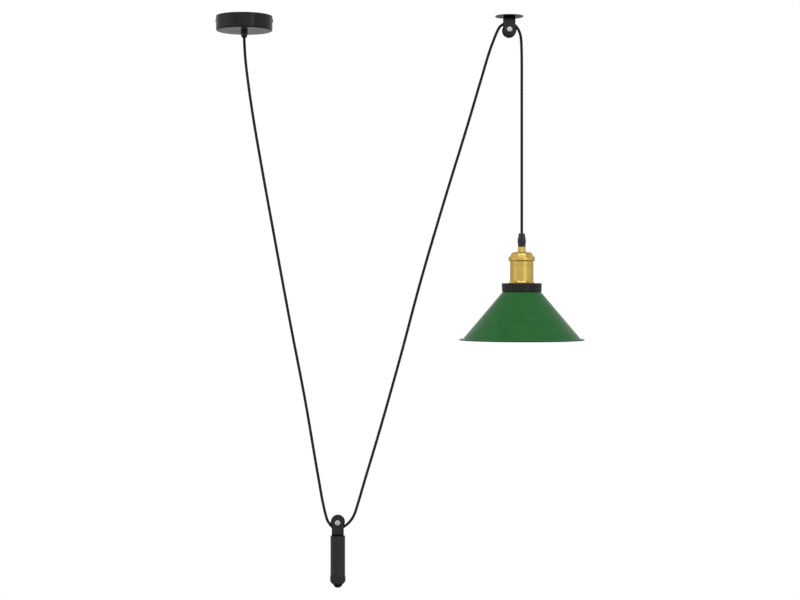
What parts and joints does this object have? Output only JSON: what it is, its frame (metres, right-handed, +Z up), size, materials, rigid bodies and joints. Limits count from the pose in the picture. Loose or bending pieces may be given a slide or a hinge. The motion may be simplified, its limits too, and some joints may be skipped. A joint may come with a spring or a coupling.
{
  "type": "rise and fall pendant",
  "caption": "Ceiling pendant on a textile cable that runs under a pulley counterweight and over a ceiling pulley, so that its cone-shaded E27 lamp rises and falls.",
  "frame": {"origin": "on the canopy's axis in the plane of the ceiling, at the centre of the mounting bracket's slots", "axes": "+X from the canopy towards the lamp, +Y away from the viewer, +Z up into the ceiling"},
  "size_m": [0.6483, 0.22, 1.0051],
  "materials": {
    "canopy_black": "satin black paint on pressed steel",
    "zinc_steel": "bright zinc plating",
    "grip_black": "moulded black nylon",
    "terminal_plastic": "moulded white nylon",
    "contact_brass": "plain machined brass",
    "core_brown": "smooth core insulation",
    "core_blue": "smooth core insulation",
    "core_green": "green and yellow core insulation",
    "pulley_black": "satin black paint on steel strap",
    "bright_steel": "bright plated screw",
    "bush_bronze": "plain bronze",
    "washer_black": "black oxide",
    "sheave_black": "moulded black nylon wheel",
    "cable_textile": "braided black textile over round flex",
    "weight_black": "satin black paint on turned steel",
    "core_iron": "raw cast iron",
    "holder_brass": "satin brass-coloured finish on turned aluminium",
    "ring_black": "moulded black phenolic, ribbed",
    "shade_green": "gloss green enamel outside, white inside, on spun aluminium",
    "porcelain": "glazed white porcelain",
    "shell_metal": "nickel-plated brass"
  },
  "bodies": {
    "ceiling_parts": {"canopy_cup": "canopy_black", "mounting_bracket": "zinc_steel", "canopy_side_screws": "canopy_black", "canopy_grip_stem": "grip_black", "canopy_grip_cap": "grip_black", "canopy_grip_locknut": "zinc_steel", "terminal_block": "terminal_plastic", "terminal_clamp_screws": "contact_brass", "terminal_fixing_screw": "zinc_steel", "earth_screw": "contact_brass", "canopy_live_wire": "core_brown", "canopy_neutral_wire": "core_blue", "canopy_earth_wire": "core_green", "pulley_plate": "pulley_black", "ceiling_fork": "pulley_black", "ceiling_fork_rivets": "pulley_black", "ceiling_axle_screw": "bright_steel", "ceiling_axle_bush": "bush_bronze", "ceiling_axle_washers": "washer_black", "ceiling_axle_nut": "bright_steel", "flex_canopy_leg": "cable_textile", "flex_pulley_leg": "cable_textile", "flex_pulley_wrap": "cable_textile", "flex_lamp_drop": "cable_textile"},
    "ceiling_wheel": {"ceiling_sheave": "sheave_black"},
    "cable_bight": {"flex_weight_wrap": "cable_textile"},
    "counterweight": {"weight_fork": "pulley_black", "weight_axle_screw": "bright_steel", "weight_axle_bush": "bush_bronze", "weight_axle_washers": "washer_black", "weight_axle_nut": "bright_steel", "weight_tie_rod": "zinc_steel", "weight_rod_nut": "zinc_steel", "weight_sleeve": "weight_black", "weight_core": "core_iron", "weight_end_cap": "weight_black", "weight_dome_nut": "weight_black"},
    "weight_wheel": {"weight_sheave": "sheave_black"},
    "lamp": {"flex_lamp_tail": "cable_textile", "lamp_grip_cap": "grip_black", "lamp_grip_base": "grip_black", "lamp_grip_locknut": "zinc_steel", "holder_cap": "holder_brass", "holder_body": "holder_brass", "shade_ring_upper": "ring_black", "shade_ring_lower": "ring_black", "shade": "shade_green", "socket_insulator": "porcelain", "socket_retaining_ring": "zinc_steel", "socket_screw_shell": "shell_metal", "socket_centre_contact": "contact_brass", "socket_terminals": "contact_brass", "socket_terminal_screws": "zinc_steel", "lamp_live_wire": "core_brown", "lamp_neutral_wire": "core_blue", "lamp_earth_wire": "core_green"}
  },
  "joints": [
    {"name": "lamp_height", "type": "slide", "parent": "ceiling_parts", "child": "lamp", "axis": [0, 0, 1], "range_m": [-0.38, 0.22], "deforming": ["flex_lamp_drop"]},
    {"name": "counterweight_height", "type": "slide", "parent": "ceiling_parts", "child": "cable_bight", "axis": [0, 0, 1], "range_m": [-0.115, 0.198], "deforming": ["flex_canopy_leg", "flex_pulley_leg"]},
    {"name": "counterweight_swing", "type": "hinge", "parent": "cable_bight", "child": "counterweight", "pos_m": [0.1645, 0, -0.8898], "axis": [0, 1, 0], "range_deg": [-20, 20]},
    {"name": "weight_wheel_spin", "type": "hinge", "parent": "counterweight", "child": "weight_wheel", "pos_m": [0.1645, 0, -0.8898], "axis": [0, 1, 0], "continuous": true},
    {"name": "ceiling_wheel_spin", "type": "hinge", "parent": "ceiling_parts", "child": "ceiling_wheel", "pos_m": [0.466, 0, -0.025], "axis": [0, 1, 0], "continuous": true}
  ],
  "couplings": [
    {"joint": "counterweight_height", "follows": "lamp_height", "ratio": -0.516},
    {"joint": "weight_wheel_spin", "follows": "lamp_height", "rad_per_m": 40.9},
    {"joint": "ceiling_wheel_spin", "follows": "lamp_height", "rad_per_m": -80.6}
  ]
}
